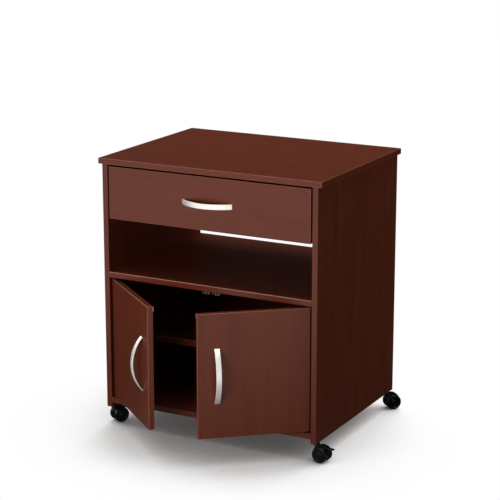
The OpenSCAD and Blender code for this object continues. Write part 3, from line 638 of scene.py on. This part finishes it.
# Pole plates: POLE_CLEAR is how far above a housing's foot they start, and POLE_TOP how far above the
# catch's lowest point they end.
POLE_PITCH, POLE_HALF, POLE_T, POLE_R = 10 * MM, 4 * MM, 1.2 * MM, 0.3 * MM
POLE_CLEAR, POLE_TOP = 1 * MM, 8 * MM


def magnetic_catch():
    """Double magnetic catch: a base with two ribbed housings and a pair of pole plates in each."""
    low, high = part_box("magnetic_catch")
    middle, depth = (low.x + high.x) / 2, high.y - low.y
    sole, base = low.z + RIB_PROUD, high.z - CATCH_BASE
    parts = [(block((low.x, low.y, base), high, CATCH_R), 0)]
    for way in (-1, 1):
        centre = middle + way * HOUSING_PITCH / 2
        housing = block((centre - HOUSING_W / 2, low.y + HOUSING_BACK, sole),
                        (centre + HOUSING_W / 2, high.y, base + HOUSING_SINK), HOUSING_R)
        parts.append((housing, 0))
        for k in (-1, 0, 1):
            x = centre + k * RIB_PITCH
            rib = block((x - RIB_HALF, high.y - depth * RIB_FROM, low.z),
                        (x + RIB_HALF, high.y - depth * RIB_TO, sole + RIB_ROOT), RIB_R, 2)
            parts.append((rib, 0))
        for k in (-1, 1):
            x = centre + k * POLE_PITCH / 2
            pole = block((x - POLE_HALF, low.y, sole + POLE_CLEAR),
                         (x + POLE_HALF, low.y + POLE_T, low.z + POLE_TOP), POLE_R, 2)
            parts.append((pole, 1))
    # The pole plates take the dark steel as painted shade.
    finishes = [CATCH_PLASTIC, SHADE_DARK_STEEL]
    piece("door_catch", "cabinet", parts, finishes, ["magnetic_catch"])


STRIKE_R = 0.35 * MM
STRIKE_SPREAD = 0.3     # distance of each screw from the plate's middle, as a share of the plate's length
# Countersink: its radius at the plate's face and at its floor, and how high the floor is in the plate.
SINK_R, SINK_FOOT_R, SINK_FLOOR, SINK_STEPS = 2.3 * MM, 1.2 * MM, 0.2 * MM, 32
# Screw in it: its radius above and below, the height of its top as a share of the plate, and its recess.
SUNK_HEAD_R, SUNK_FOOT_R, SUNK_LEVEL = 1.75 * MM, 1.1 * MM, 0.75
SUNK_REACH, SUNK_WIDTH, SUNK_DEPTH = 2.2 * MM, 0.5 * MM, 0.45 * MM


def strike_plates():
    """Steel plates that the catch holds, each with two sunk screws."""
    for side in SIDES:
        node = f"{side}_strike_plate"
        place, size = seat(node, door_place(side).col[0].xyz, -door_front(side))
        plate = block((-size.x / 2, -size.y / 2, 0), (size.x / 2, size.y / 2, size.z), STRIKE_R)
        above, head_top = size.z + MM, SUNK_LEVEL * size.z
        parts = []
        for way in (-1, 1):
            spot = Matrix.Translation((way * size.x * STRIKE_SPREAD, 0, 0))
            sink = [(0, above), (SINK_R, above), (SINK_R, size.z), (SINK_FOOT_R, SINK_FLOOR),
                    (0, SINK_FLOOR)]
            plate = cut(plate, put(lathe(sink, SINK_STEPS), spot))
            sunk = [(0, head_top), (SUNK_HEAD_R, head_top), (SUNK_FOOT_R, SINK_FLOOR), (0, SINK_FLOOR)]
            head = lathe(sunk, SINK_STEPS)
            for blade in cross_recess(SUNK_REACH, SUNK_WIDTH, SUNK_DEPTH, head_top):
                head = cut(head, blade)
            parts.append((put(head, place @ spot), 0))
        parts.append((put(plate, place), 0))
        piece(f"{side}_strike", f"{side}_door", parts, [ZINC], [node])


# ---------------------------------------------------------------- casters

TREAD_CROWN = 0.25 * MM
SHOULDER_IN, SHOULDER_SIDE, SHOULDER_STEPS = 2.4 * MM, 2.2 * MM, 6
RIM_IN = 3.2 * MM
WHEEL_STEPS = 96
# Faces of a wheel in millimetres. The boss inside and the cap outside run by radius, the rim's lip and
# the groove in the dished cover by how far they are in from the tread. The second number is the depth.
INNER_BOSS = ((0, 0.6), (5.2, 0.6), (5.6, 0.2))
OUTER_LIP = ((3.9, 0), (4.6, 0.35), (5.3, 1.2), (8.8, 1.2), (9.1, 1.5), (9.7, 1.5), (10.0, 1.2))
OUTER_CAP = ((7.4, 1.2), (6.7, 0.8), (6.2, 0.3), (5.4, 0), (2.4, 0), (2.0, 0.35), (0, 0.35))


def wheel_profile(radius, width):
    """Half section of a wheel, inner face at z = 0, with a crowned tread and a dished outer cover."""
    shoulder = []
    for k in range(SHOULDER_STEPS + 1):
        turn = math.radians(90 * k / SHOULDER_STEPS)
        shoulder.append((radius - SHOULDER_IN + (SHOULDER_IN - TREAD_CROWN) * math.sin(turn),
                         SHOULDER_SIDE * (1 - math.cos(turn))))
    return ([(out * MM, up * MM) for out, up in INNER_BOSS] + [(radius - RIM_IN, 0)]
            + shoulder + [(radius, width / 2)] + [(out, width - up) for out, up in reversed(shoulder)]
            + [(radius - inward * MM, width - down * MM) for inward, down in OUTER_LIP]
            + [(out * MM, width - down * MM) for out, down in OUTER_CAP])


def wheels(name, place):
    """Both wheels of a caster, each with its cover on the outside."""
    for row in ("inner", "outer"):
        node = f"{name}_{row}_wheel"
        low, high = local_box(node, place)
        way = 1 if low.y > 0 else -1
        radius, width = (high.z - low.z) / 2, high.y - low.y
        inner_face = min(abs(low.y), abs(high.y))
        hub = Vector(((low.x + high.x) / 2, way * inner_face, (low.z + high.z) / 2))
        outside = axes(place @ hub, place.col[0].xyz, way * place.col[1].xyz)
        made = put(lathe(wheel_profile(radius, width), WHEEL_STEPS), outside)
        piece(f"{name}_{row}_tyre", node, [(made, 0)], [TYRE_BLACK], [node])


# Tab that a foot presses, the neck that joins it to the hub, and the pin that the hub turns on.
TAB_DROOP = math.radians(4)
TAB_HALF, TAB_T, TAB_FROM, TAB_R = 5.5 * MM, 2.6 * MM, 4.3 * MM, 1.1 * MM
NECK_FROM, NECK_HALF, NECK_LAP, NECK_R = 1.0 * MM, 3.5 * MM, 1 * MM, 0.3 * MM
HUB_R, HUB_HALF, HUB_EDGE, HUB_STEPS = 3.2 * MM, 3.6 * MM, 0.4 * MM, 40
PIN_R, PIN_EDGE, PIN_STEPS = 1.5 * MM, 0.2 * MM, 24
# Grip ribs on the tab: how many, how far the first is from its end, their pitch, half width and inset,
# and how far they stand out of the tab and root in it.
GRIPS, GRIP_END, GRIP_PITCH, GRIP_HALF, GRIP_INSET = 3, 4.4 * MM, 2.6 * MM, 0.55 * MM, 1.4 * MM
GRIP_PROUD, GRIP_ROOT, GRIP_R = 0.35 * MM, 0.3 * MM, 0.25 * MM


def brake_pedal(name, place):
    """Pressed tab with three grip ribs and a round hub on the caster's brake."""
    node = f"{name}_brake_lever"
    pivot = place.inverted() @ Vector(JOINTS[f"{name}_brake_press"]["pos_m"])
    low, high = local_box(node, place)
    length, top = high.x - pivot.x, TAB_T / 2
    along_axle = place @ Matrix.Translation(pivot) @ Matrix.Rotation(math.radians(90), 4, "X")
    tilt = place @ Matrix.Translation(pivot) @ Matrix.Rotation(TAB_DROOP, 4, "Y")
    hub = prism(circle(HUB_R, HUB_STEPS), -HUB_HALF, HUB_HALF, HUB_EDGE, 2)
    pin = prism(circle(PIN_R, PIN_STEPS), low.y, high.y, PIN_EDGE, 1)
    neck = block((NECK_FROM, -NECK_HALF, -top), (TAB_FROM + NECK_LAP, NECK_HALF, top), NECK_R, 2)
    tab = block((TAB_FROM, -TAB_HALF, -top), (length, TAB_HALF, top), TAB_R, 4)
    parts = [(put(hub, along_axle), 0), (put(pin, along_axle), 0)]
    parts += [(put(neck, tilt), 0), (put(tab, tilt), 0)]
    for k in range(GRIPS):
        x = length - GRIP_END - GRIP_PITCH * k
        grip = block((x - GRIP_HALF, GRIP_INSET - TAB_HALF, top - GRIP_ROOT),
                     (x + GRIP_HALF, TAB_HALF - GRIP_INSET, top + GRIP_PROUD), GRIP_R, 2)
        parts.append((put(grip, tilt), 0))
    piece(f"{name}_pedal", node, parts, [HOOD_BLACK], [node])


def casters():
    """Wheels of all four casters and the brake pedals of the two front ones."""
    for name in CASTERS:
        place = caster_place(name)
        wheels(name, place)
        if name in BRAKED:
            brake_pedal(name, place)


# ---------------------------------------------------------------- CAD nodes that stay

# How far the sharp edges of a node are eased, in millimetres.
EASED = {
    "left_side_panel": 1.0, "right_side_panel": 1.0, "fixed_shelf": 1.2, "bottom_panel": 1.0,
    "rear_stretcher": 0.4, "back_panel": 0.3, "drawer_left_side": 0.5, "drawer_right_side": 0.5,
    "drawer_back": 0.5, "drawer_bottom": 0.3, "left_cabinet_rail": 0.25, "right_cabinet_rail": 0.25,
    "left_drawer_runner": 0.25, "right_drawer_runner": 0.25, "cabinet_hinge_leaves": 0.2,
    "left_hinge_leaves": 0.2, "right_hinge_leaves": 0.2, "shelf_pins": 0.4, "cam_locks": 0.2,
    "caster_sockets": 0.3, "caster_stems": 0.3, "back_nails": 0.2, "small_screws": 0.25,
    "left_cabinet_roller": 0.4, "right_cabinet_roller": 0.4, "left_drawer_roller": 0.4,
    "right_drawer_roller": 0.4, **{f"{name}_caster_hood": 0.55 for name in CASTERS}}
WELD_GAP = 0.002 * MM
FLAT_ANGLE = math.radians(0.5)
EASED_ANGLE = math.radians(40)
EASED_STEPS = 2


def dress_nodes():
    """Gives each CAD node its finish, and eases the sharp edges of those that EASED lists."""
    slots = {part["node"]: part["material_slot"] for part in frame["record"]["subparts"]}
    for name, target in NODES.items():
        target.data.materials.clear()
        target.data.materials.append(NODE_FINISH.get(name) or SLOT_FINISH[slots[name]])
        if name in EASED:
            ease(target, EASED[name] * MM)


def ease(target, width):
    """Welds a node's triangles into faces and rounds the edges between them, by modifiers alone."""
    weld = target.modifiers.new("weld", "WELD")
    weld.merge_threshold = WELD_GAP
    flat = target.modifiers.new("flat", "DECIMATE")
    flat.decimate_type, flat.angle_limit = "DISSOLVE", FLAT_ANGLE
    bevel = target.modifiers.new("eased", "BEVEL")
    bevel.width, bevel.segments = width, EASED_STEPS
    bevel.limit_method, bevel.angle_limit = "ANGLE", EASED_ANGLE
    weigh_normals(target)


# ---------------------------------------------------------------- stage, light and camera

FLOOR_HALF = 30.0
FLOOR_BOUNCE = 0.26

# Shadow on the floor that the camera sees: how far around a point counts, the direction that counts most,
# and the brightness by how open the space is, each as (openness, brightness).
SHADOW_REACH = 0.75
SHADOW_LEAN = (0.0, 0.330, 0.944)
SHADOW_STEPS = ((0.0, 0.03), (0.14, 0.09), (0.25, 0.22), (0.35, 0.33), (0.45, 0.50), (0.55, 0.67),
                (0.64, 0.86), (0.71, 0.97), (0.80, 1.0))
SHADOW_WARMTH = 0.06
SHADOW_SAMPLES = 16

# Room that reflections meet. It is bright in front, where GLOSS_FROM points, and dim behind. The sky is
# also bright overhead, and on the left above the horizon. Each pair says where a brightness sets in and
# where it is full: GLOSS_TURN and GLOSS_NEAR along GLOSS_FROM, for the sky and in metres on the floor,
# GLOSS_CLIMB and GLOSS_LEFT_CLIMB by height, GLOSS_LEFT_TURN along x.
GLOSS_FROM = (0.174, -0.985, 0.0)
GLOSS_REAR = 0.02
GLOSS_SKY, GLOSS_TURN = 1.0, (-0.05, 0.60)
GLOSS_FLOOR, GLOSS_NEAR = 1.65, (-0.12, 2.1)
GLOSS_ABOVE, GLOSS_CLIMB = 4.0, (0.70, 0.95)
GLOSS_LEFT, GLOSS_LEFT_TURN, GLOSS_LEFT_CLIMB = 2.6, (-0.55, -0.85), (0.04, 0.22)

# Soft light from all around, and the lamps: name, azimuth and elevation in degrees, distance, size, watts
# and the point that the lamp faces.
WORLD_LIGHT = 0.10
LAMPS = (("key", -2, -9, 2.1, (1.0, 0.24), 25.5, (0, 0, 1.04)),
         ("rim", 105, 20, 3.0, (1.2, 1.4), 17, (0, 0, 0.4)),
         ("overhead", 190, 80, 2.4, (2.2, 2.2), 26, (0, 0, 0.4)))

# Camera fitted to the straight edges in the photo.
CAMERA_AT = (2.1570, -3.9928, 1.6744)
CAMERA_AZIMUTH = 28.02
CAMERA_ELEVATION = 14.46
PHOTO_PX = 500
FOCAL_PX = 1716.9
SENSOR_MM = 36.0
CLIP_NEAR, CLIP_FAR = 0.05, 100.0


def facing_front(shader, direction, bright, start, end):
    """Brightness that reflections meet: dim up to start along GLOSS_FROM, and bright from end on."""
    dot = shader.node("ShaderNodeVectorMath", {0: direction, 1: GLOSS_FROM}, operation="DOT_PRODUCT")
    glow = shader.calc("MULTIPLY", shader.ramp(dot.outputs["Value"], start, end), bright - GLOSS_REAR)
    return shader.calc("ADD", glow, GLOSS_REAR)


def shadow_ramp(shader, openness):
    """Brightness of the floor by how open the space above it is; the deepest shade is a little warm."""
    made = shader.node("ShaderNodeValToRGB", {"Fac": openness})
    ramp = made.color_ramp
    ramp.interpolation = "B_SPLINE"
    while len(ramp.elements) < len(SHADOW_STEPS):
        ramp.elements.new(0.5)
    for element, (position, light) in zip(ramp.elements, SHADOW_STEPS):
        warm = SHADOW_WARMTH * (1 - light)
        element.position = position
        element.color = (light * (1 + warm), light, light * (1 - warm / 2), 1.0)
    return made.outputs["Color"]


def floor():
    """White floor that darkens for the camera where the cart shuts out the open space above it."""
    made = bmesh.new()
    bmesh.ops.create_grid(made, x_segments=8, y_segments=8, size=FLOOR_HALF)
    ground = added("floor", finished("floor", made))
    shader = Shader("floor")
    lean = shader.node("ShaderNodeCombineXYZ", dict(zip("XYZ", SHADOW_LEAN))).outputs[0]
    near = shader.node("ShaderNodeAmbientOcclusion", {"Distance": SHADOW_REACH, "Normal": lean},
                       samples=SHADOW_SAMPLES)
    shade = shadow_ramp(shader, near.outputs["AO"])
    seen = shader.node("ShaderNodeEmission", {"Color": shade}).outputs[0]
    glow = facing_front(shader, shader.place, GLOSS_FLOOR, *GLOSS_NEAR)
    mirrored = shader.node("ShaderNodeEmission", {"Strength": glow}).outputs[0]
    matte = shader.node("ShaderNodeBsdfDiffuse", {"Color": (FLOOR_BOUNCE,) * 3 + (1.0,)}).outputs[0]
    surface = shader.tree.nodes["Material Output"].inputs["Surface"]
    shader.feed(surface, shader.by_ray(seen, mirrored, matte))
    shader.tree.nodes.remove(shader.surface)
    ground.data.materials.append(shader.material)


class Sky(Shader):
    """The world's nodes, with the helpers of a material."""

    def __init__(self, name):
        self.material = bpy.data.worlds.new(name)
        self.material.use_nodes = True
        self.tree = self.material.node_tree
        self.tree.nodes.clear()
        self.place = self.tree.nodes.new("ShaderNodeTexCoord").outputs["Generated"]


def world():
    """White to the camera, the room of GLOSS_FROM to reflections, and an even soft light to all else."""
    sky = Sky("studio")
    bpy.context.scene.world = sky.material
    backdrop = sky.node("ShaderNodeBackground", {"Color": (1, 1, 1, 1)}).outputs[0]
    parts = sky.split(sky.place)
    above = sky.calc("MULTIPLY", sky.ramp(parts["Z"], *GLOSS_CLIMB), GLOSS_ABOVE)
    leftward, raised = sky.ramp(parts["X"], *GLOSS_LEFT_TURN), sky.ramp(parts["Z"], *GLOSS_LEFT_CLIMB)
    left = sky.calc("MULTIPLY", sky.calc("MULTIPLY", leftward, raised), GLOSS_LEFT)
    ahead = facing_front(sky, sky.place, GLOSS_SKY, *GLOSS_TURN)
    glow = sky.calc("MAXIMUM", ahead, sky.calc("MAXIMUM", above, left))
    mirrored = sky.node("ShaderNodeBackground", {"Strength": glow}).outputs[0]
    ambient = sky.node("ShaderNodeBackground", {"Strength": WORLD_LIGHT}).outputs[0]
    output = sky.node("ShaderNodeOutputWorld")
    sky.feed(output.inputs["Surface"], sky.by_ray(backdrop, mirrored, ambient))


def outward(azimuth, elevation):
    """Direction away from the cart, at an azimuth from its front and an elevation, in degrees."""
    a, e = math.radians(azimuth), math.radians(elevation)
    return Vector((math.sin(a) * math.cos(e), -math.cos(a) * math.cos(e), math.sin(e)))


def face_back(holder, direction):
    """Turns a lamp or camera to look against a direction."""
    holder.rotation_mode = "QUATERNION"
    holder.rotation_quaternion = (-direction).to_track_quat("-Z", "Y")


def softbox(name, azimuth, elevation, distance, size, watts, target):
    """Rectangular lamp that faces the target from that azimuth and elevation, unseen in reflections."""
    lamp = bpy.data.lights.new(name, "AREA")
    lamp.shape, lamp.size, lamp.size_y, lamp.energy = "RECTANGLE", size[0], size[1], watts
    holder = added(name, lamp)
    direction = outward(azimuth, elevation)
    holder.location = Vector(target) + direction * distance
    face_back(holder, direction)
    holder.visible_glossy = False


def camera():
    """Camera that sees the cart as the photo does."""
    made = bpy.data.cameras.new("camera")
    made.sensor_width = SENSOR_MM
    made.lens = FOCAL_PX * SENSOR_MM / PHOTO_PX
    made.clip_start, made.clip_end = CLIP_NEAR, CLIP_FAR
    holder = added("camera", made)
    holder.location = CAMERA_AT
    face_back(holder, outward(CAMERA_AZIMUTH, CAMERA_ELEVATION))
    bpy.context.scene.camera = holder


boards()
handles()
magnetic_catch()
strike_plates()
casters()
dress_nodes()
floor()
world()
for lamp in LAMPS:
    softbox(*lamp)
camera()
bpy.context.scene.view_settings.view_transform = "Standard"
